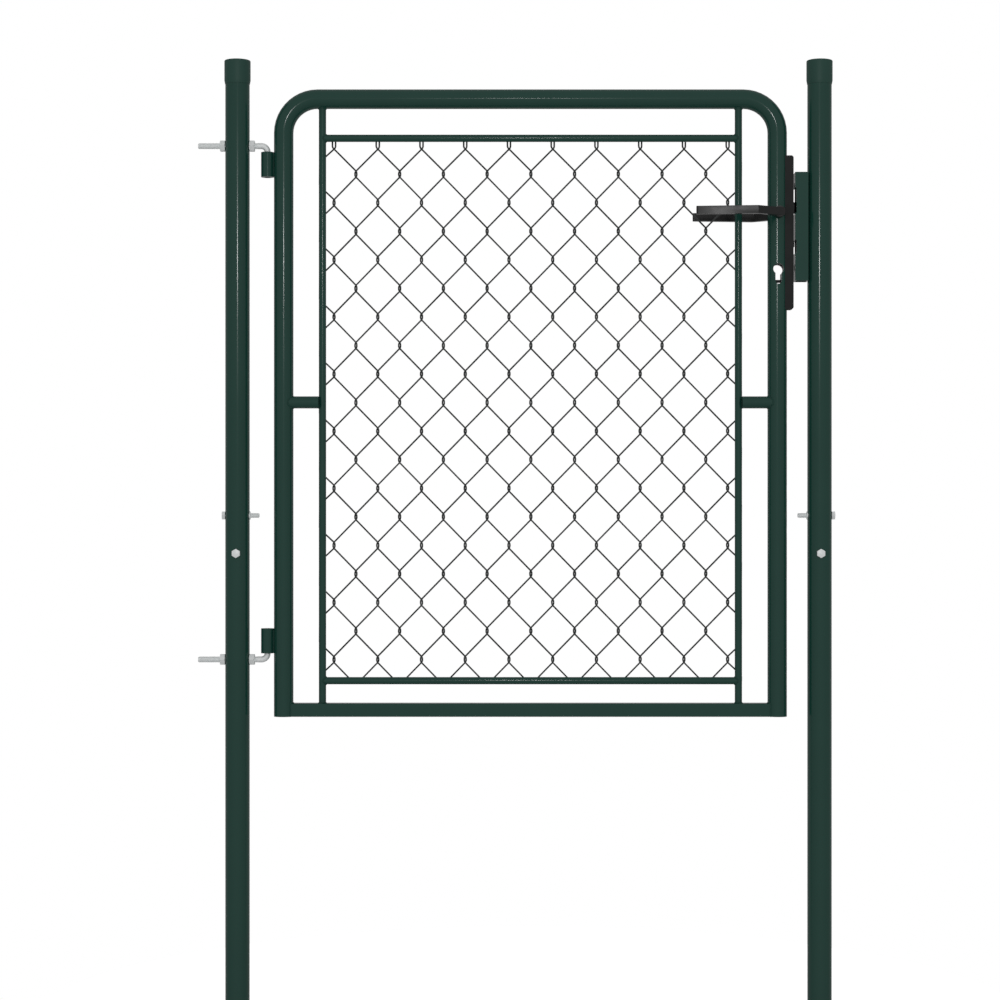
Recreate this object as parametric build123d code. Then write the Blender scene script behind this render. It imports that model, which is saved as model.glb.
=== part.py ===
"""Chain-link garden gate: two steel posts, a welded tube leaf hung on two pintles, and a tube lock.

Millimetres. The origin is the centre of the hinge post's foot, +X points to the latch post,
-Y is the front of the gate and +Z is up.
"""

import os
from build123d import *

# Posts
GATE_WIDTH = 1000.0
POST_DIAMETER = 40.0
POST_WALL = 1.5
POST_LENGTH = 1600.0
CAP_DIAMETER = 43.0
CAP_HEIGHT = 39.0
CAP_TOP = 3.0
CAP_ROUNDING = 1.5
CAP_TAPER = 6.0
CAP_LIP = 1.1

# Leaf frame
LEAF_WIDTH = 846.0
LEAF_HEIGHT = 1034.0
LEAF_BOTTOM = 518.5
LEAF_TUBE = 32.0
LEAF_WALL = 1.5
HINGE_GAP = 40.2
CORNER_RADIUS = 56.0
BOTTOM_RAIL = 22.0
BOTTOM_RAIL_WALL = 1.5

# Inner frame that carries the mesh
MESH_ROD = 12.0
UPRIGHT_INSET = 64.0
UPPER_ROD_Z = 1472.0
LOWER_ROD_Z = 577.4
TIE_DIAMETER = 20.0
TIE_WALL = 1.5
TIE_Z = 1036.2
TIE_Y = -4.0

# Chain-link mesh
WIRE = 2.8
WIRE_GAP = 0.2
WIRE_BEND = 4.0
COLUMN_PITCH = 36.15
COLUMN_COUNT = 19
FIRST_COLUMN = 18.3
ROW_PITCH = 47.2
ROW_COUNT = 19
TOP_ROW_Z = 1461.6
KNUCKLE_HALF = 3.5
TOP_STUB_SPREAD = 2.5
TOP_STUB_END_Z = 1476.0
WIRE_END_Z = 573.5
EDGE_WIRE_END_Z = 576.5
EDGE_BEND_INSET = 5.5
MESH_BEHIND_ROD = 0.1

# Hinges
HINGE_BOLT = 10.0
HINGE_BOLT_START_X = -64.6
HINGE_BEND = 10.0
PIN_LENGTH = 38.0
UPPER_HINGE_Z = 1459.1
LOWER_HINGE_Z = 612.5
BARREL_DIAMETER = 21.3
BARREL_LENGTH = 41.0
BARREL_END_GAP = 0.3
RUNNING_FIT = 0.06
HINGE_NUT_FLATS = 17.0
HINGE_NUT_HEIGHT = 8.4
HOLE_CLEARANCE = 0.25

# Fence bolts through the posts
FENCE_BOLT = 8.0
FENCE_BOLT_FLATS = 13.0
FENCE_BOLT_HEAD = 5.3
FENCE_BOLT_LENGTH = 56.0
SIDE_BOLT_Z = 849.9
FRONT_BOLT_Z = 787.5
RIVET_NUT_BODY = 11.0
RIVET_NUT_FLANGE = 13.5
RIVET_NUT_FLANGE_THICKNESS = 1.2
RIVET_NUT_LENGTH = 14.0

# Lock
BACKSET = 25.0
FOREND_PROUD = 10.0
FOREND_WIDTH = 22.0
FOREND_BOTTOM_Z = 1189.3
FOREND_HEIGHT = 253.0
FOREND_WALL = 2.0
FOREND_ROUNDING = 4.0
CASE_THICKNESS = 15.0
CASE_WALL = 1.2
CASE_BACKSET = 13.0
CASE_END_MARGIN = 10.0
CASE_FRONT_GAP = 0.2
SPINDLE_Z = 1347.5
SPINDLE = 8.0
CYLINDER_Z = 1255.5
EURO_RADIUS = 8.5
EURO_SLOT_WIDTH = 10.0
EURO_HEIGHT = 33.0
EURO_CLEARANCE = 0.25
CYLINDER_SCREW = 5.0
CYLINDER_SCREW_DROP = 19.5
CYLINDER_SCREW_HEAD = 8.8
CYLINDER_SCREW_HEAD_HEIGHT = 1.4

# Latch, deadbolt and follower
LATCH_HEIGHT = 18.0
LATCH_BOTTOM_Z = 1348.0
LATCH_PROUD = 10.0
LATCH_LENGTH = 15.2
BOLT_THICKNESS = 10.0
DEADBOLT_HEIGHT = 10.0
DEADBOLT_BOTTOM_Z = 1292.4
DEADBOLT_PROUD = 2.0
DEADBOLT_LENGTH = 24.0
SLOT_CLEARANCE = 0.3
BEVEL_LAND = 1.0
BEVEL_DEPTH = 8.0
FOLLOWER_RADIUS = 8.4
FOLLOWER_BOSS_RADIUS = 7.0
FOLLOWER_ARM_ANGLE = 30.0
FOLLOWER_ARM_REACH = 20.8
FOLLOWER_ARM_WIDTH = 4.0
FOLLOWER_SIDE_GAP = 0.2
PLATE_THICKNESS = 5.0
LUG_FACE = 6.4
LUG_WIDTH = 3.2
LUG_BOTTOM = 16.0
TAIL_BOTTOM = 22.0
TAIL_THICKNESS = 3.0
SPRING_SEAT_HEIGHT = 33.0
SPRING_HEIGHT = 29.0
SPRING_RADIUS = 2.6
SPRING_WIRE = 0.8
SPRING_TURNS = 9

# Levers
LEVER_LENGTH = 137.4
GRIP_LENGTH = 100.0
GRIP_HEIGHT = 13.0
GRIP_DEPTH = 10.0
ELBOW_OFFSET = 55.0
TIP_OFFSET = 45.0
ELBOW_STEP = 3.0
HUB_CORNER_STEP = 1.0
LEVER_ROUNDING = 3.0
LEVER_HUB_RADIUS = 9.0
LEVER_HUB_GAP = 0.4
LEVER_NECK_OFFSET = 30.0
SPINDLE_SOCKET_END = 32.0
GRUB_SCREW = 4.0
GRUB_SCREW_Y = 21.0
GRUB_SCREW_RECESS = 0.6
SPINDLE_END_GAP = 1.0

# Keep on the latch post
KEEP_DEPTH = 21.4
KEEP_WIDTH = 30.0
KEEP_HEIGHT = 178.4
KEEP_BOTTOM_Z = 1236.2
KEEP_WALL = 2.0
LATCH_WINDOW_BOTTOM_Z = 1347.4
LATCH_WINDOW_HEIGHT = 42.0
DEADBOLT_WINDOW_BOTTOM_Z = 1281.5
DEADBOLT_WINDOW_HEIGHT = 21.5
KEEP_SCREW = 6.0
KEEP_SCREW_LENGTH = 16.0
KEEP_SCREW_HEAD_RADIUS = 5.2
KEEP_SCREW_HEAD_HEIGHT = 3.3
KEEP_SCREW_MARGIN = 22.0
KEEP_ACCESS_RADIUS = 6.0
KEEP_NUT_BODY = 9.0

# Forend screws
FOREND_SCREW_RADIUS = 2.0
FOREND_SCREW_HEAD_RADIUS = 3.9
FOREND_SCREW_HEAD_HEIGHT = 1.4
FOREND_SCREW_LENGTH = 9.0
FOREND_SCREW_MARGIN = 5.6
FOREND_LUG_EXTRA = 1.0
SCREW_HOLE_GAP = 0.1

# Places worked out from the sizes above
POST_SPACING = GATE_WIDTH - POST_DIAMETER
POST_RADIUS = POST_DIAMETER / 2
LEAF_RADIUS = LEAF_TUBE / 2
LEFT_LEG_X = POST_RADIUS + HINGE_GAP + LEAF_RADIUS
RIGHT_LEG_X = LEFT_LEG_X + LEAF_WIDTH - LEAF_TUBE
TOP_RAIL_Z = LEAF_BOTTOM + LEAF_HEIGHT - LEAF_RADIUS
HINGE_AXIS_X = LEFT_LEG_X - LEAF_RADIUS - BARREL_DIAMETER / 2
LEFT_UPRIGHT_X = LEFT_LEG_X + UPRIGHT_INSET
RIGHT_UPRIGHT_X = RIGHT_LEG_X - UPRIGHT_INSET
BOTTOM_RAIL_TOP = LEAF_BOTTOM + BOTTOM_RAIL
FOREND_X = RIGHT_LEG_X + LEAF_RADIUS + FOREND_PROUD
LOCK_AXIS_X = FOREND_X - BACKSET
CASE_BACK_X = LOCK_AXIS_X - CASE_BACKSET
CASE_FRONT_X = FOREND_X - FOREND_WALL - CASE_FRONT_GAP
CASE_BOTTOM_Z = FOREND_BOTTOM_Z + CASE_END_MARGIN
CASE_TOP_Z = FOREND_BOTTOM_Z + FOREND_HEIGHT - CASE_END_MARGIN
CASE_INNER_Y = CASE_THICKNESS / 2 - CASE_WALL
KEEP_X = POST_SPACING - POST_RADIUS - KEEP_DEPTH
LATCH_BACK_X = FOREND_X + LATCH_PROUD - LATCH_LENGTH


def bar(start, end, diameter):
    """A round bar between two points."""
    run = Vector(*end) - Vector(*start)
    return Solid.make_cylinder(diameter / 2, run.length, Plane(origin=start, z_dir=run))


def block(low, high):
    """A box between its two far corners."""
    size = [b - a for a, b in zip(low, high)]
    centre = [(a + b) / 2 for a, b in zip(low, high)]
    return Pos(*centre) * Box(*size)


def hexagon(start, end, across_flats):
    """A hexagonal prism between two points: corners up and down when it lies along X, else left and right."""
    run = Vector(*end) - Vector(*start)
    corner = (0, 0, 1) if abs(run.X) > abs(run.Y) else (1, 0, 0)
    seat = Plane(origin=start, x_dir=corner, z_dir=run)
    return extrude(seat * RegularPolygon(across_flats / 2, 6, major_radius=False), run.length)


def bent_bar(points, bend_radius, diameter):
    """A round bar swept along straight runs joined by bends."""
    path = FilletPolyline(*points, radius=bend_radius)
    profile = Plane(origin=path @ 0, z_dir=path % 0) * Circle(diameter / 2)
    return sweep(profile, path=path)


# ---- posts ----

def post_tube(x):
    """A plain post: a round tube, open at its foot."""
    top = POST_LENGTH - CAP_TOP
    tube = bar((x, 0, 0), (x, 0, top), POST_DIAMETER)
    return tube - bar((x, 0, 0), (x, 0, top), POST_DIAMETER - 2 * POST_WALL)


def fence_bolt_holes(x, threaded_side):
    """Clearance holes for the side and front bolts, wider where the rivet nuts sit."""
    clearance = FENCE_BOLT + 2 * HOLE_CLEARANCE
    side_nut = (x + threaded_side * POST_DIAMETER, 0, SIDE_BOLT_Z)
    holes = bar((x - POST_DIAMETER, 0, SIDE_BOLT_Z), (x + POST_DIAMETER, 0, SIDE_BOLT_Z), clearance)
    holes += bar((x, -POST_DIAMETER, FRONT_BOLT_Z), (x, POST_DIAMETER, FRONT_BOLT_Z), clearance)
    holes += bar((x, 0, SIDE_BOLT_Z), side_nut, RIVET_NUT_BODY)
    holes += bar((x, 0, FRONT_BOLT_Z), (x, POST_DIAMETER, FRONT_BOLT_Z), RIVET_NUT_BODY)
    return holes


def hinge_post():
    """The post with the two cross holes for the hinge bolts."""
    post = post_tube(0) - fence_bolt_holes(0, 1)
    for z in (UPPER_HINGE_Z, LOWER_HINGE_Z):
        reach = POST_DIAMETER
        post -= bar((-reach, 0, z), (reach, 0, z), HINGE_BOLT + 2 * HOLE_CLEARANCE)
    return post


def keep_screw_heights():
    """Heights of the two screws that hold the keep to its post."""
    low = KEEP_BOTTOM_Z + KEEP_SCREW_MARGIN
    return low, KEEP_BOTTOM_Z + KEEP_HEIGHT - KEEP_SCREW_MARGIN


def latch_post():
    """The post that carries the keep."""
    post = post_tube(POST_SPACING) - fence_bolt_holes(POST_SPACING, -1)
    for z in keep_screw_heights():
        post -= bar((POST_SPACING - POST_DIAMETER, 0, z), (POST_SPACING, 0, z), KEEP_NUT_BODY)
    return post


def post_cap(x):
    """A plastic cap with a rounded crown and a lip that draws in at its lower edge."""
    bottom = POST_LENGTH - CAP_HEIGHT
    cap = bar((x, 0, bottom), (x, 0, POST_LENGTH), CAP_DIAMETER)
    cap = fillet(cap.edges().sort_by(Axis.Z)[-1], CAP_ROUNDING)
    cap = chamfer(cap.edges().sort_by(Axis.Z)[0], CAP_TAPER, CAP_LIP)
    return cap - bar((x, 0, bottom), (x, 0, POST_LENGTH - CAP_TOP), POST_DIAMETER)


def hinge_bolt(z, pin_side):
    """An L-shaped threaded rod; pin_side is -1 for a pin that hangs down and +1 for one that stands."""
    corner = (HINGE_AXIS_X, 0, z)
    pin_end = (HINGE_AXIS_X, 0, z + pin_side * (HINGE_BEND + PIN_LENGTH))
    return bent_bar([(HINGE_BOLT_START_X, 0, z), corner, pin_end], HINGE_BEND, HINGE_BOLT)


def hinge_nuts():
    """Two nuts on each hinge bolt, one on either side of the post."""
    nuts = []
    for z in (UPPER_HINGE_Z, LOWER_HINGE_Z):
        for side in (-1, 1):
            near = (side * POST_RADIUS, 0, z)
            far = (side * (POST_RADIUS + HINGE_NUT_HEIGHT), 0, z)
            nuts.append(hexagon(near, far, HINGE_NUT_FLATS) - bar(near, far, HINGE_BOLT))
    return Compound(children=nuts)


def fence_bolt(x, z, head_direction):
    """A hexagon bolt through a post, with its head on the side that head_direction points to."""
    out = Vector(*head_direction)
    centre = Vector(x, 0, z)
    seat = centre + out * POST_RADIUS
    head = hexagon(tuple(seat), tuple(seat + out * FENCE_BOLT_HEAD), FENCE_BOLT_FLATS)
    return head + bar(tuple(seat), tuple(seat - out * FENCE_BOLT_LENGTH), FENCE_BOLT)


def rivet_nut(x, z, mouth_direction, body, bore):
    """A flanged insert in a post's wall, opening the way mouth_direction points."""
    out = Vector(*mouth_direction)
    seat = Vector(x, 0, z) + out * POST_RADIUS
    inner = tuple(seat - out * RIVET_NUT_LENGTH)
    outer = tuple(seat + out * RIVET_NUT_FLANGE_THICKNESS)
    flange_diameter = body + RIVET_NUT_FLANGE - RIVET_NUT_BODY
    nut = bar(inner, tuple(seat), body) + bar(tuple(seat), outer, flange_diameter)
    return nut - bar(inner, outer, bore)


def fence_bolts():
    """One side bolt and one front bolt through each post."""
    return Compound(children=[
        fence_bolt(0, SIDE_BOLT_Z, (-1, 0, 0)),
        fence_bolt(0, FRONT_BOLT_Z, (0, -1, 0)),
        fence_bolt(POST_SPACING, SIDE_BOLT_Z, (1, 0, 0)),
        fence_bolt(POST_SPACING, FRONT_BOLT_Z, (0, -1, 0)),
    ])


def fence_rivet_nuts():
    """The inserts that the fence bolts screw into."""
    size = (RIVET_NUT_BODY, FENCE_BOLT)
    return Compound(children=[
        rivet_nut(0, SIDE_BOLT_Z, (1, 0, 0), *size),
        rivet_nut(0, FRONT_BOLT_Z, (0, 1, 0), *size),
        rivet_nut(POST_SPACING, SIDE_BOLT_Z, (-1, 0, 0), *size),
        rivet_nut(POST_SPACING, FRONT_BOLT_Z, (0, 1, 0), *size),
    ])


# ---- keep ----

def keep_box():
    """A folded box on the latch post with a window for the latch and one for the deadbolt."""
    half = KEEP_WIDTH / 2
    back_x = KEEP_X + KEEP_DEPTH
    top = KEEP_BOTTOM_Z + KEEP_HEIGHT
    keep = block((KEEP_X, -half, KEEP_BOTTOM_Z), (back_x, half, top))
    keep -= block(
        (KEEP_X + KEEP_WALL, KEEP_WALL - half, KEEP_BOTTOM_Z),
        (back_x - KEEP_WALL, half - KEEP_WALL, top),
    )
    windows = (
        (LATCH_WINDOW_BOTTOM_Z, LATCH_WINDOW_HEIGHT),
        (DEADBOLT_WINDOW_BOTTOM_Z, DEADBOLT_WINDOW_HEIGHT),
    )
    for low, height in windows:
        keep -= block((KEEP_X, -half, low), (KEEP_X + KEEP_WALL, half, low + height))
    for z in keep_screw_heights():
        keep -= bar((KEEP_X, 0, z), (KEEP_X + KEEP_WALL, 0, z), 2 * KEEP_ACCESS_RADIUS)
        keep -= bar((back_x - KEEP_WALL, 0, z), (back_x, 0, z), KEEP_SCREW + 2 * HOLE_CLEARANCE)
    return keep


def keep_screws():
    """Two pan-head screws from inside the keep into the post."""
    seat_x = KEEP_X + KEEP_DEPTH - KEEP_WALL
    screws = []
    for z in keep_screw_heights():
        seat = (seat_x, 0, z)
        head = bar((seat_x - KEEP_SCREW_HEAD_HEIGHT, 0, z), seat, 2 * KEEP_SCREW_HEAD_RADIUS)
        screws.append(head + bar(seat, (seat_x + KEEP_SCREW_LENGTH, 0, z), KEEP_SCREW))
    return Compound(children=screws)


def keep_rivet_nuts():
    """Countersunk inserts for the keep screws, flush with the post's inner side."""
    mouth_x = POST_SPACING - POST_RADIUS
    nuts = []
    for z in keep_screw_heights():
        start = (mouth_x, 0, z)
        end = (mouth_x + RIVET_NUT_LENGTH, 0, z)
        nuts.append(bar(start, end, KEEP_NUT_BODY) - bar(start, end, KEEP_SCREW))
    return Compound(children=nuts)


# ---- leaf frame ----

def hoop_path_points():
    """Centre line of the leaf's outer tube, from foot to foot."""
    return [
        (LEFT_LEG_X, 0, LEAF_BOTTOM),
        (LEFT_LEG_X, 0, TOP_RAIL_Z),
        (RIGHT_LEG_X, 0, TOP_RAIL_Z),
        (RIGHT_LEG_X, 0, LEAF_BOTTOM),
    ]


def lock_slot():
    """The slot in the right leg that the lock case slides into."""
    half = CASE_THICKNESS / 2 + SLOT_CLEARANCE
    low = (RIGHT_LEG_X, -half, CASE_BOTTOM_Z - SLOT_CLEARANCE)
    return block(low, (RIGHT_LEG_X + LEAF_TUBE, half, CASE_TOP_Z + SLOT_CLEARANCE))


def lock_bar(z, half_length, radius):
    """A round bar through the lock, level across the gate."""
    return bar((LOCK_AXIS_X, -half_length, z), (LOCK_AXIS_X, half_length, z), 2 * radius)


def euro_profile(clearance, half_length):
    """The keyhole outline of a profile cylinder, as a solid through the lock."""
    half_slot = EURO_SLOT_WIDTH / 2 + clearance
    foot_z = CYLINDER_Z + EURO_RADIUS - EURO_HEIGHT + EURO_SLOT_WIDTH / 2
    slot = block(
        (LOCK_AXIS_X - half_slot, -half_length, foot_z),
        (LOCK_AXIS_X + half_slot, half_length, CYLINDER_Z),
    )
    barrel = lock_bar(CYLINDER_Z, half_length, EURO_RADIUS + clearance)
    return slot + barrel + lock_bar(foot_z, half_length, half_slot)


def leaf_hoop():
    """One tube bent twice into the leaf's legs and top rail, cut open for the lock."""
    points = hoop_path_points()
    hoop = bent_bar(points, CORNER_RADIUS, LEAF_TUBE)
    hoop -= bent_bar(points, CORNER_RADIUS, LEAF_TUBE - 2 * LEAF_WALL)
    hoop -= lock_slot()
    hoop -= euro_profile(EURO_CLEARANCE, LEAF_TUBE)
    return hoop - lock_bar(SPINDLE_Z, LEAF_TUBE, FOLLOWER_BOSS_RADIUS + 2 * HOLE_CLEARANCE)


def leg_outsides():
    """The two legs as solid bars, to fit other pieces against them."""
    legs = bar((LEFT_LEG_X, 0, 0), (LEFT_LEG_X, 0, POST_LENGTH), LEAF_TUBE)
    return legs + bar((RIGHT_LEG_X, 0, 0), (RIGHT_LEG_X, 0, POST_LENGTH), LEAF_TUBE)


def bottom_rail():
    """The square tube between the legs, its ends shaped to their round."""
    half = BOTTOM_RAIL / 2
    inner = half - BOTTOM_RAIL_WALL
    mid_z = LEAF_BOTTOM + half
    rail = block((LEFT_LEG_X, -half, mid_z - half), (RIGHT_LEG_X, half, mid_z + half))
    rail -= block((LEFT_LEG_X, -inner, mid_z - inner), (RIGHT_LEG_X, inner, mid_z + inner))
    return rail - leg_outsides()


def upright(x):
    """A round rod from the bottom rail up to the top rail."""
    rod = bar((x, 0, BOTTOM_RAIL_TOP), (x, 0, TOP_RAIL_Z), MESH_ROD)
    return rod - bar((LEFT_LEG_X, 0, TOP_RAIL_Z), (RIGHT_LEG_X, 0, TOP_RAIL_Z), LEAF_TUBE)


def mesh_rod(z):
    """A level rod between the two uprights."""
    rod = bar((LEFT_UPRIGHT_X, 0, z), (RIGHT_UPRIGHT_X, 0, z), MESH_ROD)
    for x in (LEFT_UPRIGHT_X, RIGHT_UPRIGHT_X):
        rod -= bar((x, 0, z - MESH_ROD), (x, 0, z + MESH_ROD), MESH_ROD)
    return rod


def side_tie(leg_x, upright_edge_x):
    """A short tube that braces an upright from the leg beside it."""
    ends = (leg_x, TIE_Y, TIE_Z), (upright_edge_x, TIE_Y, TIE_Z)
    return bar(*ends, TIE_DIAMETER) - bar(*ends, TIE_DIAMETER - 2 * TIE_WALL) - leg_outsides()


def hinge_barrel(pintle_z, pin_side):
    """A drilled sleeve on the leg that turns on the hinge bolt's pin."""
    near = pintle_z + pin_side * (HINGE_BEND + BARREL_END_GAP)
    ends = (HINGE_AXIS_X, 0, near), (HINGE_AXIS_X, 0, near + pin_side * BARREL_LENGTH)
    return bar(*ends, BARREL_DIAMETER) - bar(*ends, HINGE_BOLT + 2 * RUNNING_FIT)


# ---- chain-link mesh ----

def column_x(column):
    """Where a line of knuckles stands; the lines outside the first and last are the wires' edges."""
    if column < 0:
        return LEFT_UPRIGHT_X - EDGE_BEND_INSET
    if column >= COLUMN_COUNT:
        return RIGHT_UPRIGHT_X + EDGE_BEND_INSET
    return LEFT_UPRIGHT_X + FIRST_COLUMN + COLUMN_PITCH * column


def row_z(row):
    """The height of a row of knuckles, counted down from the rod."""
    return TOP_ROW_Z - ROW_PITCH * row


def chain_wire(column):
    """One flattened spiral between a knuckle line and the next; it hooks through both neighbours."""
    left, right = column_x(column), column_x(column + 1)
    side = (WIRE + WIRE_GAP) / 2
    mesh_y = MESH_ROD / 2 + MESH_BEHIND_ROD + WIRE / 2 + side
    edge_run = right - left if column in (-1, COLUMN_COUNT - 1) else COLUMN_PITCH

    def bend(row, at_right):
        """The two corners where the wire turns from one face of the mesh to the other."""
        on_edge = (column < 0 and not at_right) or (column == COLUMN_COUNT - 1 and at_right)
        half = ROW_PITCH - KNUCKLE_HALF - edge_run if on_edge else KNUCKLE_HALF
        reach = 0 if on_edge else side
        x = right + reach if at_right else left - reach
        entry_y = mesh_y - side if at_right else mesh_y + side
        exit_y = mesh_y + side if at_right else mesh_y - side
        return [(x, entry_y, row_z(row) + half), (x, exit_y, row_z(row) - half)]

    starts_right = column % 2 == 1
    stub_x = right + TOP_STUB_SPREAD if starts_right else left - TOP_STUB_SPREAD
    stub_y = mesh_y + side if starts_right else mesh_y - side
    points = [(stub_x, stub_y, TOP_STUB_END_Z), (stub_x, stub_y, row_z(0) - KNUCKLE_HALF)]
    for row in range(1, ROW_COUNT):
        points += bend(row, at_right=(row % 2 == 1) != starts_right)
    last = Vector(*points[-1])
    target = Vector(*bend(ROW_COUNT, at_right=(ROW_COUNT % 2 == 1) != starts_right)[0])
    end_z = EDGE_WIRE_END_Z if column in (-1, COLUMN_COUNT - 1) else WIRE_END_Z
    share = (last.Z - end_z) / (last.Z - target.Z)
    points.append(tuple(last + (target - last) * min(share, 1)))
    if share > 1:
        points.append((target.X, target.Y, end_z))
    return bent_bar(points, WIRE_BEND, WIRE)


def chain_link_mesh():
    """All the wires: the middle ones repeat every second column, and the edge ones end on the uprights."""
    wires = [chain_wire(-1), chain_wire(COLUMN_COUNT - 1)]
    for first in (0, 1):
        pattern = chain_wire(first)
        for step in range((COLUMN_COUNT - 1) // 2):
            wires.append(Pos(2 * COLUMN_PITCH * step, 0, 0) * pattern)
    return Compound(children=wires)


# ---- lock ----

def bolt_section(x_low, x_high, z_low, height, clearance):
    """The square section of the latch or deadbolt, or the slot it slides in."""
    half = BOLT_THICKNESS / 2 + clearance
    return block((x_low, -half, z_low - clearance), (x_high, half, z_low + height + clearance))


def forend_screw_heights():
    """Heights of the screws that hold the forend to the lock case's lugs."""
    low = CASE_BOTTOM_Z + FOREND_SCREW_MARGIN
    return low, CASE_TOP_Z - FOREND_SCREW_MARGIN


def lock_cover():
    """The black forend: a rounded channel that caps the slot in the leg."""
    top_z = FOREND_BOTTOM_Z + FOREND_HEIGHT
    half = FOREND_WIDTH / 2
    cover = block((RIGHT_LEG_X, -half, FOREND_BOTTOM_Z), (FOREND_X, half, top_z))
    outer_edges = cover.edges().filter_by(Axis.Y).group_by(Axis.X)[-1]
    cover = fillet(outer_edges, FOREND_ROUNDING)
    cover -= block(
        (RIGHT_LEG_X, FOREND_WALL - half, FOREND_BOTTOM_Z + FOREND_WALL),
        (FOREND_X - FOREND_WALL, half - FOREND_WALL, top_z - FOREND_WALL),
    )
    cover -= bolt_section(RIGHT_LEG_X, FOREND_X, LATCH_BOTTOM_Z, LATCH_HEIGHT, SLOT_CLEARANCE)
    cover -= bolt_section(RIGHT_LEG_X, FOREND_X, DEADBOLT_BOTTOM_Z, DEADBOLT_HEIGHT, SLOT_CLEARANCE)
    gap = 2 * SCREW_HOLE_GAP
    screw_z = CYLINDER_Z - CYLINDER_SCREW_DROP
    cover -= bar((RIGHT_LEG_X, 0, screw_z), (FOREND_X, 0, screw_z), CYLINDER_SCREW + gap)
    head_seat = (FOREND_X - CYLINDER_SCREW_HEAD_HEIGHT, 0, screw_z)
    cover -= bar(head_seat, (FOREND_X, 0, screw_z), CYLINDER_SCREW_HEAD + gap)
    for z in forend_screw_heights():
        cover -= bar((RIGHT_LEG_X, 0, z), (FOREND_X, 0, z), 2 * FOREND_SCREW_RADIUS + gap)
        seat = (FOREND_X - FOREND_SCREW_HEAD_HEIGHT, 0, z)
        cover -= bar(seat, (FOREND_X, 0, z), 2 * FOREND_SCREW_HEAD_RADIUS + gap)
    return cover - leg_outsides()


def case_openings():
    """What is cut through the case's side plates: the follower's bearing and the cylinder's keyhole."""
    hole = lock_bar(SPINDLE_Z, CASE_THICKNESS, FOLLOWER_BOSS_RADIUS + RUNNING_FIT)
    return hole + euro_profile(EURO_CLEARANCE, CASE_THICKNESS)


def lock_case():
    """The steel tray of the lock: rear plate, back wall, ends and two screw lugs."""
    half = CASE_THICKNESS / 2
    tray = block((CASE_BACK_X, -CASE_INNER_Y, CASE_BOTTOM_Z), (CASE_FRONT_X, half, CASE_TOP_Z))
    tray -= block(
        (CASE_BACK_X + CASE_WALL, -CASE_INNER_Y, CASE_BOTTOM_Z + CASE_WALL),
        (CASE_FRONT_X, CASE_INNER_Y, CASE_TOP_Z - CASE_WALL),
    )
    lug_length = FOREND_SCREW_LENGTH + FOREND_LUG_EXTRA
    lug_half = FOREND_SCREW_MARGIN - CASE_WALL
    for z in forend_screw_heights():
        lug = block(
            (CASE_FRONT_X - lug_length, -CASE_INNER_Y, z - lug_half),
            (CASE_FRONT_X, CASE_INNER_Y, z + lug_half),
        )
        tapped = bar((CASE_FRONT_X - lug_length, 0, z), (CASE_FRONT_X, 0, z), 2 * FOREND_SCREW_RADIUS)
        tray += lug - tapped
    return tray - case_openings()


def lock_case_lid():
    """The front side plate of the lock case."""
    half = CASE_THICKNESS / 2
    lid = block((CASE_BACK_X, -half, CASE_BOTTOM_Z), (CASE_FRONT_X, -CASE_INNER_Y, CASE_TOP_Z))
    return lid - case_openings()


def forend_screws():
    """Two countersunk screws through the forend."""
    screws = []
    for z in forend_screw_heights():
        seat_x = FOREND_X - FOREND_SCREW_HEAD_HEIGHT
        head = bar((seat_x, 0, z), (FOREND_X, 0, z), 2 * FOREND_SCREW_HEAD_RADIUS)
        shank_end_x = FOREND_X - FOREND_SCREW_HEAD_HEIGHT - FOREND_SCREW_LENGTH
        screws.append(head + bar((shank_end_x, 0, z), (seat_x, 0, z), 2 * FOREND_SCREW_RADIUS))
    return Compound(children=screws)


def cylinder_screw():
    """The long screw that holds a profile cylinder from the forend."""
    z = CYLINDER_Z - CYLINDER_SCREW_DROP
    seat = (FOREND_X - CYLINDER_SCREW_HEAD_HEIGHT, 0, z)
    shank = bar((CASE_BACK_X + 2 * CASE_WALL, 0, z), seat, CYLINDER_SCREW)
    return shank + bar(seat, (FOREND_X, 0, z), CYLINDER_SCREW_HEAD)


def spindle_square(start_y, end_y):
    """The square section of the spindle between two depths."""
    side = SPINDLE / 2
    low = (LOCK_AXIS_X - side, start_y, SPINDLE_Z - side)
    return block(low, (LOCK_AXIS_X + side, end_y, SPINDLE_Z + side))


def follower():
    """The turning piece in the lock: a square-holed hub with an arm that draws the latch back."""
    half = CASE_THICKNESS / 2
    hub = lock_bar(SPINDLE_Z, CASE_INNER_Y - FOLLOWER_SIDE_GAP, FOLLOWER_RADIUS)
    hub += lock_bar(SPINDLE_Z, half, FOLLOWER_BOSS_RADIUS)
    arm = block(
        (-FOLLOWER_ARM_WIDTH / 2, -PLATE_THICKNESS / 2, 0),
        (FOLLOWER_ARM_WIDTH / 2, PLATE_THICKNESS / 2, FOLLOWER_ARM_REACH),
    )
    hub += Pos(LOCK_AXIS_X, 0, SPINDLE_Z) * Rot(0, FOLLOWER_ARM_ANGLE, 0) * arm
    return hub - spindle_square(-half, half)


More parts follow.
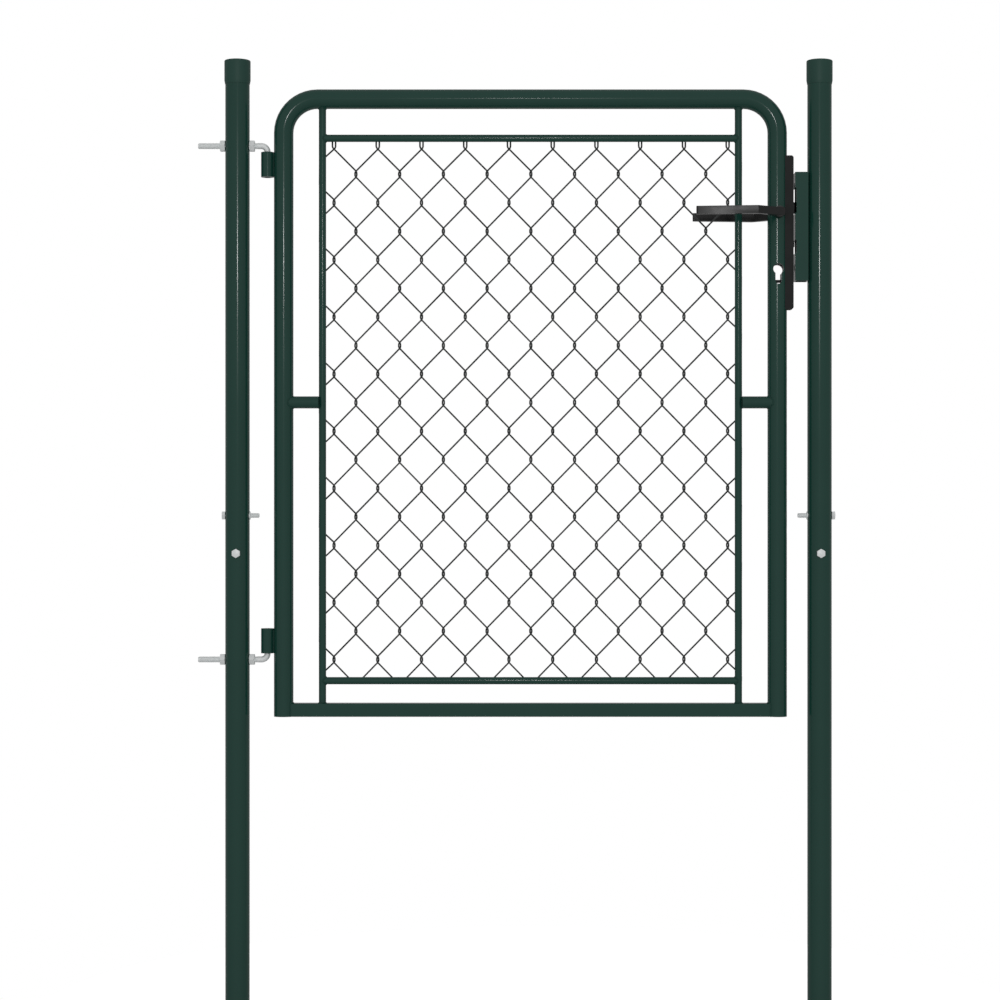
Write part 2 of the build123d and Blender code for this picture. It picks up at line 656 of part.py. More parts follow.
def latch_bolt():
    """The sprung latch: a bevelled head, a tail over the follower, a lug and a spring seat."""
    tip_x = FOREND_X + LATCH_PROUD
    head = bolt_section(LATCH_BACK_X, tip_x, LATCH_BOTTOM_Z, LATCH_HEIGHT, 0)
    front_tip = head.edges().filter_by(Axis.Z).sort_by(lambda edge: edge.center().X - edge.center().Y)[-1]
    head = chamfer(front_tip, LATCH_PROUD - BEVEL_LAND, BEVEL_DEPTH)
    half = PLATE_THICKNESS / 2
    lug_right = LOCK_AXIS_X + LUG_FACE
    lug_left = lug_right - LUG_WIDTH
    tail_low = SPINDLE_Z + TAIL_BOTTOM
    tail_high = tail_low + TAIL_THICKNESS
    riser_x = LATCH_BACK_X + TAIL_THICKNESS
    seat_top = SPINDLE_Z + SPRING_SEAT_HEIGHT
    latch = head + block((LATCH_BACK_X, -half, LATCH_BOTTOM_Z), (riser_x, half, seat_top))
    latch += block((lug_left, -half, tail_low), (riser_x, half, tail_high))
    return latch + block((lug_left, -half, SPINDLE_Z + LUG_BOTTOM), (lug_right, half, tail_high))


def latch_spring():
    """The compression spring between the case's back wall and the latch's seat."""
    start_x = CASE_BACK_X + CASE_WALL
    length = LATCH_BACK_X - start_x
    coil_length = length - 2 * SPRING_WIRE
    coil = Helix(coil_length / SPRING_TURNS, coil_length, SPRING_RADIUS)
    profile = Plane(origin=coil @ 0, z_dir=coil % 0) * Circle(SPRING_WIRE / 2)
    spring = sweep(profile, path=coil)
    place = Plane(origin=(start_x + SPRING_WIRE, 0, SPINDLE_Z + SPRING_HEIGHT), z_dir=(1, 0, 0))
    return place * spring


def deadbolt():
    """The bolt thrown by the key."""
    tip_x = FOREND_X + DEADBOLT_PROUD
    return bolt_section(tip_x - DEADBOLT_LENGTH, tip_x, DEADBOLT_BOTTOM_Z, DEADBOLT_HEIGHT, 0)


# ---- levers ----

def lever(side):
    """A lever handle in one piece, its grip leaning back towards the leaf. side is -1 for the front."""
    near_y = LEAF_RADIUS + LEVER_HUB_GAP
    elbow_x = LOCK_AXIS_X - LEVER_LENGTH + GRIP_LENGTH
    tip_x = LOCK_AXIS_X - LEVER_LENGTH
    half = GRIP_DEPTH / 2
    hub_x = LOCK_AXIS_X + LEVER_HUB_RADIUS - HUB_CORNER_STEP
    outline = Polygon(
        (hub_x, LEVER_NECK_OFFSET - half),
        (hub_x, LEVER_NECK_OFFSET + half - HUB_CORNER_STEP),
        (LOCK_AXIS_X, LEVER_NECK_OFFSET + half + HUB_CORNER_STEP),
        (elbow_x, ELBOW_OFFSET + half),
        (tip_x, TIP_OFFSET + half),
        (tip_x, TIP_OFFSET - half),
        (elbow_x + ELBOW_STEP, ELBOW_OFFSET - half),
        (LOCK_AXIS_X - LEVER_HUB_RADIUS, LEVER_NECK_OFFSET - half),
        align=None,
    )
    grip = extrude(Pos(0, 0, SPINDLE_Z - GRIP_HEIGHT / 2) * outline, GRIP_HEIGHT)
    grip = fillet(grip.edges().filter_by(Axis.Z).group_by(Axis.X)[0], LEVER_ROUNDING)
    hub_end = LEVER_NECK_OFFSET + half - HUB_CORNER_STEP
    hub = bar((LOCK_AXIS_X, near_y, SPINDLE_Z), (LOCK_AXIS_X, hub_end, SPINDLE_Z), 2 * LEVER_HUB_RADIUS)
    handle = grip + hub - spindle_square(0, SPINDLE_SOCKET_END)
    grub_start = (LOCK_AXIS_X, GRUB_SCREW_Y, SPINDLE_Z - 2 * LEVER_HUB_RADIUS)
    handle -= bar(grub_start, (LOCK_AXIS_X, GRUB_SCREW_Y, SPINDLE_Z), GRUB_SCREW)
    return handle if side > 0 else mirror(handle, about=Plane.XZ)


def spindle():
    """The square bar that joins the two levers through the follower."""
    end = SPINDLE_SOCKET_END - SPINDLE_END_GAP
    return spindle_square(-end, end)


def lever_grub_screws():
    """A grub screw under each lever's hub that bears on the spindle."""
    low = SPINDLE_Z - LEVER_HUB_RADIUS + GRUB_SCREW_RECESS
    high = SPINDLE_Z - SPINDLE / 2
    screws = []
    for y in (-GRUB_SCREW_Y, GRUB_SCREW_Y):
        screws.append(bar((LOCK_AXIS_X, y, low), (LOCK_AXIS_X, y, high), GRUB_SCREW))
    return Compound(children=screws)


def all_nodes():
    """Every node of the gate by name."""
    return {
        "hinge_post": hinge_post(),
        "latch_post": latch_post(),
        "hinge_post_cap": post_cap(0),
        "latch_post_cap": post_cap(POST_SPACING),
        "upper_hinge_bolt": hinge_bolt(UPPER_HINGE_Z, -1),
        "lower_hinge_bolt": hinge_bolt(LOWER_HINGE_Z, 1),
        "hinge_nuts": hinge_nuts(),
        "fence_bolts": fence_bolts(),
        "fence_rivet_nuts": fence_rivet_nuts(),
        "keep_box": keep_box(),
        "keep_screws": keep_screws(),
        "keep_rivet_nuts": keep_rivet_nuts(),
        "leaf_hoop": leaf_hoop(),
        "bottom_rail": bottom_rail(),
        "hinge_side_upright": upright(LEFT_UPRIGHT_X),
        "latch_side_upright": upright(RIGHT_UPRIGHT_X),
        "upper_mesh_rod": mesh_rod(UPPER_ROD_Z),
        "lower_mesh_rod": mesh_rod(LOWER_ROD_Z),
        "hinge_side_tie": side_tie(LEFT_LEG_X, LEFT_UPRIGHT_X - MESH_ROD / 2),
        "latch_side_tie": side_tie(RIGHT_LEG_X, RIGHT_UPRIGHT_X + MESH_ROD / 2),
        "upper_hinge_barrel": hinge_barrel(UPPER_HINGE_Z, -1),
        "lower_hinge_barrel": hinge_barrel(LOWER_HINGE_Z, 1),
        "chain_link_mesh": chain_link_mesh(),
        "lock_cover": lock_cover(),
        "lock_case": lock_case(),
        "lock_case_lid": lock_case_lid(),
        "forend_screws": forend_screws(),
        "cylinder_screw": cylinder_screw(),
        "follower": follower(),
        "latch_bolt": latch_bolt(),
        "latch_spring": latch_spring(),
        "deadbolt": deadbolt(),
        "front_lever": lever(-1),
        "back_lever": lever(1),
        "spindle": spindle(),
        "lever_grub_screws": lever_grub_screws(),
    }


def main():
    """Write one STEP file for each node."""
    os.makedirs("parts", exist_ok=True)
    for name, shape in all_nodes().items():
        export_step(shape, f"parts/{name}.step")
        print(name, round(shape.volume))


main()
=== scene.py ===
"""Chain-link garden gate: the finish of every part, the fine detail on the metalwork, and a plain studio."""

import math

import bmesh
import bpy
from mathutils import Matrix, Vector


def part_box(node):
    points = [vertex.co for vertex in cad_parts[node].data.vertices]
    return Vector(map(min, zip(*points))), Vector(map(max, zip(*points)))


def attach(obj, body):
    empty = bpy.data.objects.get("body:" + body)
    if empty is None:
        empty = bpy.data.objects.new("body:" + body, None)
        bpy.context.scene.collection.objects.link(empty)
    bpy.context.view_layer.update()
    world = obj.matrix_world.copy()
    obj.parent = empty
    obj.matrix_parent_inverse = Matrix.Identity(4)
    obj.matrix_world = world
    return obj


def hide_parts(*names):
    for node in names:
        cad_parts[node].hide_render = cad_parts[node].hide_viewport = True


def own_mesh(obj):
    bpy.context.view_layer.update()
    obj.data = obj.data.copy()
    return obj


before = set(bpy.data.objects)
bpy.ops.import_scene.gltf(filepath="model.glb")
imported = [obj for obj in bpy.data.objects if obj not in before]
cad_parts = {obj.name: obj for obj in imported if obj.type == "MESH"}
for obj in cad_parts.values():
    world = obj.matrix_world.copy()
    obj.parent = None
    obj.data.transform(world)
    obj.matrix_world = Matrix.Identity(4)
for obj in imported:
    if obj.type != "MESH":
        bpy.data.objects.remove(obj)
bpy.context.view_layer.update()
MM = 0.001

# Real sizes of the detail, in millimetres
EDGE_SMOOTH_ANGLE = 32
ROUND_FACE = 0.97
HINGE_THREAD = {"major": 10.0, "minor": 8.4, "pitch": 1.5}
FENCE_THREAD = {"major": 8.0, "minor": 6.6, "pitch": 1.25}
THREAD_STEPS = 20
HINGE_THREAD_END = 33.0
HINGE_BEND = 10.0
HINGE_NUT_FLATS = 17.0
THREAD_SEAT = 0.05
CORNER_CUT = 0.97
FENCE_BOLT_FLATS = 13.0
FENCE_BOLT_HEAD = 5.3
FENCE_BOLT_LENGTH = 56.0
FENCE_BOLT_SHANK = 21.0
SIDE_BOLT_Z = 849.9
FRONT_BOLT_Z = 787.5
LEAF_RADIUS = 16.0
ROD_RADIUS = 6.0
TIE_RADIUS = 10.0
RAIL_HALF = 11
WIRE = 2.8
WIRE_CORE = 1.9
WIRE_OFFSET = 1.5
WIRE_BEND_REACH = 2.4
WIRE_END_Z = 573.5
EDGE_WIRE_END_Z = 576.5
COLUMN_PITCH = 36.15
COLUMN_COUNT = 19
FIRST_COLUMN = 18.3
ROW_PITCH = 47.2
ROW_COUNT = 19
TOP_ROW_DROP = 10.4
KNUCKLE_HALF = 3.5
STUB_SPREAD = 2.5
STUB_RISE = 4.0
EDGE_BEND_INSET = 5.5
MESH_BEHIND_ROD = 0.1
CORNER_RADIUS = 56.0
WELD_RADIUS = 1.5
WELD_STEP = 1.6
RING_STEPS = 24


# ---- materials ----

def linear(code):
    """A colour from its sRGB hex code, as the linear value that a shader takes."""
    parts = [int(code[i:i + 2], 16) / 255 for i in (1, 3, 5)]
    return [c / 12.92 if c <= 0.04045 else ((c + 0.055) / 1.055) ** 2.4 for c in parts] + [1.0]


def add(tree, kind, values=None, links=None, **settings):
    """Adds a node, with its settings, its fixed values and its links."""
    made = tree.nodes.new(kind)
    for field, value in settings.items():
        setattr(made, field, value)
    for socket, value in (values or {}).items():
        made.inputs[socket].default_value = value
    for socket, source in (links or {}).items():
        tree.links.new(source, made.inputs[socket])
    return made


def finish_material(name, colours, roughness, patch, grain, depth, metallic=0.0, ior=1.5, stretch=(1, 1, 1)):
    """A material with two close colours in soft patches, a grain that roughens it and a fine relief.

    patch and grain are real sizes in millimetres, and depth is the relief's height in millimetres.
    """
    material = bpy.data.materials.new(name)
    material.use_nodes = True
    tree = material.node_tree
    tree.nodes.clear()
    place = add(tree, "ShaderNodeTexCoord").outputs["Object"]
    turned = add(tree, "ShaderNodeMapping", {"Scale": stretch}, {"Vector": place}).outputs["Vector"]
    patches = add(tree, "ShaderNodeTexNoise", {"Scale": 1 / (patch * MM), "Detail": 3.0},
                  {"Vector": turned})
    grains = add(tree, "ShaderNodeTexNoise", {"Scale": 1 / (grain * MM), "Detail": 2.0},
                 {"Vector": turned})
    tint = add(tree, "ShaderNodeMix", {6: linear(colours[0]), 7: linear(colours[1])},
               {0: patches.outputs[0]}, data_type="RGBA")
    gloss = add(tree, "ShaderNodeMapRange", {"From Min": 0.3, "From Max": 0.7, "To Min": roughness[0],
                "To Max": roughness[1]}, {"Value": patches.outputs[0]})
    relief = add(tree, "ShaderNodeBump", {"Strength": 1.0, "Distance": depth * MM},
                 {"Height": grains.outputs[0]})
    shader = add(tree, "ShaderNodeBsdfPrincipled", {"Metallic": metallic},
                 {"Base Color": tint.outputs[2], "Roughness": gloss.outputs[0], "Normal": relief.outputs[0]})
    if not metallic:
        shader.inputs["IOR"].default_value = ior
    add(tree, "ShaderNodeOutputMaterial", links={"Surface": shader.outputs[0]})
    return material


# Polyester powder coat, sprayed on and baked: an even dark green, glossy, with a faint orange peel.
powder_coat = finish_material(
    "green baked powder coat", ("#184138", "#1b463c"), (0.13, 0.16), 90, 2.4, 0.0025, ior=1.38)
# Polyethylene cap, injection moulded: the same green, with a satin skin from the mould.
cap_plastic = finish_material(
    "green moulded polyethylene", ("#1a4239", "#1d473d"), (0.40, 0.48), 40, 0.8, 0.012, ior=1.42)
# Zinc on steel, electroplated and passivated: nearly white, faintly cloudy, more milky than mirror-like.
zinc = finish_material(
    "bright electroplated zinc", ("#fcfefe", "#f2f6f6"), (0.34, 0.46), 6, 0.5, 0.003, metallic=0.2)
# Plastic-coated wire, drawn and extrusion coated: dark grey with a dull gloss.
wire_coat = finish_material(
    "extruded vinyl wire coat", ("#262b2a", "#2d3231"), (0.30, 0.42), 20, 1.2, 0.006, ior=1.5)
# Steel core where the wire was cut: bright at the shear marks.
cut_steel = finish_material(
    "sheared wire steel", ("#a9abaa", "#7d807f"), (0.35, 0.5), 1.0, 0.3, 0.02, metallic=1.0)
# Black powder coat with a fine texture: nearly matt, so it shows as one dark plane.
black_coat = finish_material(
    "fine-textured black powder coat", ("#111212", "#161717"), (0.58, 0.70), 30, 0.7, 0.02, ior=1.42)
# Glass-filled nylon, injection moulded: black with a satin skin that greys in the light.
lever_nylon = finish_material(
    "black glass-filled nylon", ("#0d0e0e", "#121313"), (0.26, 0.30), 18, 0.5, 0.004, ior=1.45)
# Blackened steel, turned and oiled: dark, with the shine of bare metal at its edges.
blackened = finish_material(
    "oil-blackened steel", ("#2a2b2c", "#3a3b3c"), (0.3, 0.42), 5, 0.4, 0.006, metallic=1.0)
# Cold-rolled steel sheet, pressed: mid grey with fine rolling lines along it.
rolled_steel = finish_material(
    "cold-rolled pressed steel", ("#8f9293", "#7c7f80"), (0.28, 0.45), 7, 0.6, 0.006, metallic=1.0,
    stretch=(1, 1, 0.15))
# Spring wire, drawn hard: dark bright steel.
spring_wire = finish_material(
    "hard-drawn spring wire", ("#777a7b", "#636667"), (0.22, 0.34), 3, 0.4, 0.004, metallic=1.0)


# ---- making pieces ----

def make_piece(name, shape, material, body, *nodes):
    """Turns a bmesh into a piece that rides on a body and stands for the named parts of the fixed model."""
    data = bpy.data.meshes.new(name)
    shape.to_mesh(data)
    shape.free()
    data.materials.append(material)
    for face in data.polygons:
        face.use_smooth = True
    data.set_sharp_from_angle(angle=math.radians(EDGE_SMOOTH_ANGLE))
    piece = bpy.data.objects.new(name, data)
    bpy.context.scene.collection.objects.link(piece)
    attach(piece, body)
    if nodes:
        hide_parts(*nodes)
    return piece


def ease_edges(piece, width, segments=2):
    """Rounds a piece's hard edges by a width in millimetres."""
    bevel = piece.modifiers.new("eased edges", "BEVEL")
    bevel.width = width * MM
    bevel.segments = segments
    bevel.limit_method = "ANGLE"
    bevel.angle_limit = math.radians(EDGE_SMOOTH_ANGLE)
    bevel.harden_normals = True
    return piece


def joined_copy(node):
    """A node's mesh with its loose triangles joined and its flat faces whole."""
    shape = bmesh.new()
    shape.from_mesh(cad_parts[node].data)
    bmesh.ops.remove_doubles(shape, verts=shape.verts, dist=0.001 * MM)
    bmesh.ops.dissolve_limit(shape, angle_limit=math.radians(0.5), verts=shape.verts, edges=shape.edges)
    return shape


def true_round(piece, centre_at):
    """Gives a tube's curved faces the normals of a true round, so that light runs straight along it."""
    data = piece.data
    normals = [Vector(corner.vector) for corner in data.corner_normals]
    for face in data.polygons:
        out = (face.center - centre_at(face.center)).normalized()
        lean = face.normal.dot(out)
        if abs(lean) < ROUND_FACE:
            continue
        for loop in face.loop_indices:
            point = data.vertices[data.loops[loop].vertex_index].co
            normals[loop] = (point - centre_at(point)).normalized() * math.copysign(1, lean)
    data.normals_split_custom_set(normals)


def straight_centre(node):
    """The centre line of a straight tube along its box's long side."""
    middle = centre_of(node)
    low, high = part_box(node)
    span = high - low
    long_side = max(range(3), key=lambda side: span[side])

    def centre_at(point):
        """The centre line's point beside this one."""
        beside = middle.copy()
        beside[long_side] = point[long_side]
        return beside

    return centre_at


hoop_low, hoop_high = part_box("leaf_hoop")


def hoop_centre(point):
    """The hoop's centre line beside a point: a bend's radius out from the frame inside its bends."""
    inset = (LEAF_RADIUS + CORNER_RADIUS) * MM
    x = min(max(point.x, hoop_low.x + inset), hoop_high.x - inset)
    inside = Vector((x, 0, min(point.z, hoop_high.z - inset)))
    out = Vector((point.x, 0, point.z)) - inside
    return inside + out.normalized() * CORNER_RADIUS * MM


def finished_node(node, material, body, easing=0.0, segments=2):
    """A node's own shape, smooth on its curves and eased on its edges."""
    piece = make_piece(node + "_finished", joined_copy(node), material, body, node)
    if easing:
        ease_edges(piece, easing, segments)
    return piece


def centre_of(node):
    """The middle of a node's box."""
    low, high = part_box(node)
    return (low + high) / 2


def turned_to(axis):
    """The turn that brings +Z onto an axis."""
    return Vector((0, 0, 1)).rotation_difference(Vector(axis)).to_matrix().to_4x4()


def open_edges(shape):
    """The edges with only one face, round whatever is still open."""
    return [edge for edge in shape.edges if edge.is_boundary]


def close_up(shape):
    """Fills what is open and turns every face outwards."""
    bmesh.ops.holes_fill(shape, edges=open_edges(shape), sides=0)
    bmesh.ops.recalc_face_normals(shape, faces=shape.faces)


def merge_into(whole, part):
    """Adds one bmesh to another."""
    data = bpy.data.meshes.new("part")
    part.to_mesh(data)
    part.free()
    whole.from_mesh(data)
    bpy.data.meshes.remove(data)


def swept_bar(points, reach, radius, sides_resolution=2, segments=4):
    """A round bar along straight runs in millimetres, its corners rounded back by a reach."""
    line = bmesh.new()
    corners = [line.verts.new(Vector(point) * MM) for point in points]
    for a, b in zip(corners, corners[1:]):
        line.edges.new((a, b))
    inner = corners[1:-1]
    if reach and inner:
        bmesh.ops.bevel(line, geom=inner, offset=reach * MM, offset_type="OFFSET", affect="VERTICES",
                        segments=segments, profile=0.5, material=-1)
    data = bpy.data.meshes.new("line")
    line.to_mesh(data)
    line.free()
    holder = bpy.data.objects.new("line", data)
    bpy.context.scene.collection.objects.link(holder)
    bpy.context.view_layer.objects.active = holder
    for other in bpy.context.selected_objects:
        other.select_set(False)
    holder.select_set(True)
    bpy.ops.object.convert(target="CURVE")
    holder = bpy.context.view_layer.objects.active
    holder.data.dimensions = "3D"
    holder.data.bevel_depth = radius * MM
    holder.data.bevel_resolution = sides_resolution
    holder.data.use_fill_caps = True
    bpy.ops.object.convert(target="MESH")
    holder = bpy.context.view_layer.objects.active
    bar = bmesh.new()
    bar.from_mesh(holder.data)
    data = holder.data
    bpy.data.objects.remove(holder)
    bpy.data.meshes.remove(data)
    bmesh.ops.remove_doubles(bar, verts=bar.verts, dist=0.001 * MM)
    bmesh.ops.recalc_face_normals(bar, faces=bar.faces)
    return bar


def chamfer_ends(bar, width):
    """Takes the sharp rim off a bar's flat ends."""
    rims = [edge for face in bar.faces if len(face.verts) > 4 for edge in face.edges]
    bmesh.ops.bevel(bar, geom=rims, offset=width * MM, offset_type="OFFSET", affect="EDGES",
                    segments=1, profile=0.5, material=-1)


def thread(start, end, major, minor, pitch):
    """A screw thread between two points in millimetres: one turn's tooth, spun along the bar."""
    start, end = Vector(start), Vector(end)
    run = end - start
    turns = int(run.length / pitch) - 1
    tooth = ((minor, 0.0), (major, 0.375), (major, 0.5), (minor, 0.875), (minor, 1.0))
    shape = bmesh.new()
    profile = [shape.verts.new((diameter / 2 * MM, 0, share * pitch * MM)) for diameter, share in tooth]
    edges = [shape.edges.new(pair) for pair in zip(profile, profile[1:])]
    bmesh.ops.spin(shape, geom=profile + edges, cent=(0, 0, 0), axis=(0, 0, 1), angle=turns * 2 * math.pi,
                   steps=turns * THREAD_STEPS, dvec=(0, 0, pitch * MM / THREAD_STEPS))
    bmesh.ops.remove_doubles(shape, verts=shape.verts, dist=0.01 * MM)
    close_up(shape)
    first_turn = Matrix.Translation((0, 0, 0.3 * pitch * MM))
    shape.transform(Matrix.Translation(start * MM) @ turned_to(run) @ first_turn)
    return shape


def hexagon(seat, out, flats, height, bore=0.0):
    """A hexagon head standing on a seat, or a nut where it has a bore, its corners cut back by turning."""
    shape = bmesh.new()
    outer = bmesh.ops.create_circle(shape, segments=6, radius=flats / math.sqrt(3) * MM, cap_ends=not bore)
    if bore:
        bmesh.ops.subdivide_edges(shape, edges=list(shape.edges), cuts=3, use_grid_fill=False)
        rim = list(shape.edges)
        hole = bmesh.ops.create_circle(shape, segments=24, radius=bore / 2 * MM)["verts"]
        rim += [edge for edge in shape.edges if all(vert in hole for vert in edge.verts)]
        bmesh.ops.bridge_loops(shape, edges=rim)
    raised = bmesh.ops.extrude_face_region(shape, geom=list(shape.faces))["geom"]
    upper = [vert for vert in raised if isinstance(vert, bmesh.types.BMVert)]
    bmesh.ops.translate(shape, verts=upper, vec=(0, 0, height * MM))
    bmesh.ops.recalc_face_normals(shape, faces=shape.faces)
    cut_faces = ((1, height), (-1, 0.0)) if bore else ((1, height),)
    for corner in range(12):
        around = math.radians(30 * corner)
        side = Vector((math.cos(around), math.sin(around), 0))
        for up, level in cut_faces:
            point = side * (flats / 2 * CORNER_CUT) + Vector((0, 0, level))
            slope = (side * 0.5 + Vector((0, 0, up * 0.87))).normalized()
            geometry = list(shape.verts) + list(shape.edges) + list(shape.faces)
            bmesh.ops.bisect_plane(shape, geom=geometry, dist=1e-7, plane_co=point * MM, plane_no=slope,
                                   clear_outer=True)
            bmesh.ops.holes_fill(shape, edges=open_edges(shape), sides=0)
    bmesh.ops.recalc_face_normals(shape, faces=shape.faces)
    shape.transform(Matrix.Translation(Vector(seat) * MM) @ turned_to(out))
    return shape


# ---- posts ----

for node in ("hinge_post", "latch_post"):
    true_round(finished_node(node, powder_coat, "posts"), straight_centre(node))
finished_node("hinge_post_cap", cap_plastic, "posts", 0.4)
finished_node("latch_post_cap", cap_plastic, "posts", 0.4)
finished_node("keep_box", powder_coat, "posts", 0.7, 3)
finished_node("fence_rivet_nuts", zinc, "posts")
finished_node("keep_screws", zinc, "posts")
finished_node("keep_rivet_nuts", zinc, "posts")

POST_RADIUS = (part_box("hinge_post")[1].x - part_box("hinge_post")[0].x) / 2 / MM
for name, pin_side in (("upper_hinge_bolt", -1), ("lower_hinge_bolt", 1)):
    low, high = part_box(name)
    pin_x = high.x / MM - HINGE_THREAD["major"] / 2
    rod_z = (high.z if pin_side < 0 else low.z) / MM + pin_side * HINGE_THREAD["major"] / 2
    pin_end = (low.z if pin_side < 0 else high.z) / MM
    start = (low.x / MM, 0, rod_z)
    bolt = swept_bar([(HINGE_THREAD_END, 0, rod_z), (pin_x, 0, rod_z), (pin_x, 0, pin_end)], HINGE_BEND,
                     HINGE_THREAD["major"] / 2, 6, 12)
    chamfer_ends(bolt, 0.8)
    core_radius = HINGE_THREAD["minor"] / 2 - THREAD_SEAT
    core = swept_bar([start, (HINGE_THREAD_END, 0, rod_z)], 0, core_radius, 4)
    chamfer_ends(core, 0.6)
    merge_into(bolt, core)
    merge_into(bolt, thread((start[0] + 0.6, 0, rod_z), (HINGE_THREAD_END + 0.5, 0, rod_z), **HINGE_THREAD))
    make_piece(name + "_threaded", bolt, zinc, "posts", name)

nut_low, nut_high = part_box("hinge_nuts")
nut_height = nut_high.x / MM - POST_RADIUS
nuts = bmesh.new()
nut_corner = HINGE_NUT_FLATS / math.sqrt(3)
for rod_z in (nut_low.z / MM + nut_corner, nut_high.z / MM - nut_corner):
    for side in (-1, 1):
        merge_into(nuts, hexagon((side * POST_RADIUS, 0, rod_z), (side, 0, 0), HINGE_NUT_FLATS, nut_height,
                                 HINGE_THREAD["major"] + 0.1))
make_piece("hinge_nuts_chamfered", nuts, zinc, "posts", "hinge_nuts")

bolts = bmesh.new()
for x, outward in ((0.0, -1), (centre_of("latch_post").x / MM, 1)):
    for z, out in ((SIDE_BOLT_Z, Vector((outward, 0, 0))), (FRONT_BOLT_Z, Vector((0, -1, 0)))):
        seat = Vector((x, 0, z)) + out * POST_RADIUS
        head_top = seat + out * FENCE_BOLT_HEAD
        tail = seat - out * FENCE_BOLT_LENGTH
        merge_into(bolts, hexagon(seat, out, FENCE_BOLT_FLATS, FENCE_BOLT_HEAD))
        core = swept_bar([head_top - out, tail], 0, FENCE_THREAD["minor"] / 2 - THREAD_SEAT, 4)
        chamfer_ends(core, 0.6)
        merge_into(bolts, core)
        merge_into(bolts, thread(seat - out * (FENCE_BOLT_SHANK - 1), tail + out * 0.6, **FENCE_THREAD))
        shank_run = [seat - out * 0.2, seat - out * FENCE_BOLT_SHANK]
        merge_into(bolts, swept_bar(shank_run, 0, FENCE_THREAD["major"] / 2, 4))
make_piece("fence_bolts_threaded", bolts, zinc, "posts", "fence_bolts")


# ---- leaf ----

true_round(finished_node("leaf_hoop", powder_coat, "leaf"), hoop_centre)
for node in ("hinge_side_upright", "latch_side_upright", "upper_mesh_rod", "lower_mesh_rod", "hinge_side_tie",
             "latch_side_tie"):
    true_round(finished_node(node, powder_coat, "leaf"), straight_centre(node))
rail = finished_node("bottom_rail", powder_coat, "leaf")
rail.modifiers.new("rounded corners", "BEVEL").width = 1.2 * MM
for node in ("upper_hinge_barrel", "lower_hinge_barrel"):
    finished_node(node, powder_coat, "leaf", 0.5, 3)
finished_node("lock_cover", black_coat, "leaf", 0.5, 3)
for node, material in (("lock_case", rolled_steel), ("lock_case_lid", rolled_steel),
                       ("forend_screws", blackened), ("cylinder_screw", blackened)):
    finished_node(node, material, "leaf")
spring = finished_node("latch_spring", spring_wire, "leaf")
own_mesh(spring)


def weld_run(shape, points):
    """A run of weld along a line of points: overlapping drops, as the torch leaves them."""
    for a, b in zip(points, points[1:]):
        a, b = Vector(a), Vector(b)
        drops = max(1, round((b - a).length / WELD_STEP))
        for drop in range(drops):
            place = Matrix.Translation(a.lerp(b, drop / drops) * MM)
            bmesh.ops.create_icosphere(shape, subdivisions=1, radius=WELD_RADIUS * MM, matrix=place)


def weld_ring(shape, seat, into, rod_radius, tube_radius):
    """A weld round the end of a rod, set into the round of the tube that it meets."""
    seat, into = Vector(seat), Vector(into)
    side = into.cross(Vector((0, 1, 0)))
    ring = []
    for step in range(RING_STEPS + 1):
        angle = 2 * math.pi * step / RING_STEPS
        point = seat + (side * math.cos(angle) + Vector((0, 1, 0)) * math.sin(angle)) * rod_radius
        across = min(abs(point.y), tube_radius * 0.98)
        depth = tube_radius - math.sqrt(tube_radius ** 2 - across ** 2) if tube_radius else 0
        ring.append(point + into * depth)
    weld_run(shape, ring)


leg_left = hoop_low.x / MM + LEAF_RADIUS
leg_right = hoop_high.x / MM - LEAF_RADIUS
rail_under_z = hoop_high.z / MM - 2 * LEAF_RADIUS
bottom_low, bottom_high = (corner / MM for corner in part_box("bottom_rail"))
beads = bmesh.new()
for side, leg_x, inward in (("hinge_side_", leg_left, 1), ("latch_side_", leg_right, -1)):
    x = centre_of(side + "upright").x / MM
    weld_ring(beads, (x, 0, rail_under_z), (0, 0, 1), ROD_RADIUS, LEAF_RADIUS)
    weld_ring(beads, (x, 0, bottom_high.z), (0, 0, -1), ROD_RADIUS, 0)
    for rod in ("upper_mesh_rod", "lower_mesh_rod"):
        rod_end = (x + inward * ROD_RADIUS, 0, centre_of(rod).z / MM)
        weld_ring(beads, rod_end, (-inward, 0, 0), ROD_RADIUS, ROD_RADIUS)
    tie = centre_of(side + "tie") / MM
    tie_end = (leg_x + inward * LEAF_RADIUS, tie.y, tie.z)
    weld_ring(beads, tie_end, (-inward, 0, 0), TIE_RADIUS, LEAF_RADIUS)
    for y in (-2.4, 1.6):
        edge_x = x - inward * ROD_RADIUS
        weld_run(beads, [(edge_x, y, tie.z - 9.0), (edge_x, y, tie.z + 9.0)])
    saddle = [(leg_x + inward * math.sqrt(LEAF_RADIUS ** 2 - y * y), y, bottom_high.z)
              for y in range(-RAIL_HALF, RAIL_HALF + 1, 2)]
    feet = [(saddle[0][0], y, bottom_low.z + 1) for y in (-RAIL_HALF, RAIL_HALF)]
    weld_run(beads, [feet[0]] + saddle + [feet[1]])
for node in ("upper_hinge_barrel", "lower_hinge_barrel"):
    low, high = (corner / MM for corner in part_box(node))
    seam_x = leg_left - LEAF_RADIUS - 0.1
    for y in (-3.4, 3.4):
        weld_run(beads, [(seam_x, y, low.z + 2), (seam_x, y, high.z - 2)])
make_piece("leaf_weld_beads", beads, powder_coat, "leaf")


def column_x(column, left, right):
    """Where a line of knuckles stands, in millimetres."""
    if column < 0:
        return left - EDGE_BEND_INSET
    if column >= COLUMN_COUNT:
        return right + EDGE_BEND_INSET
    return left + FIRST_COLUMN + COLUMN_PITCH * column


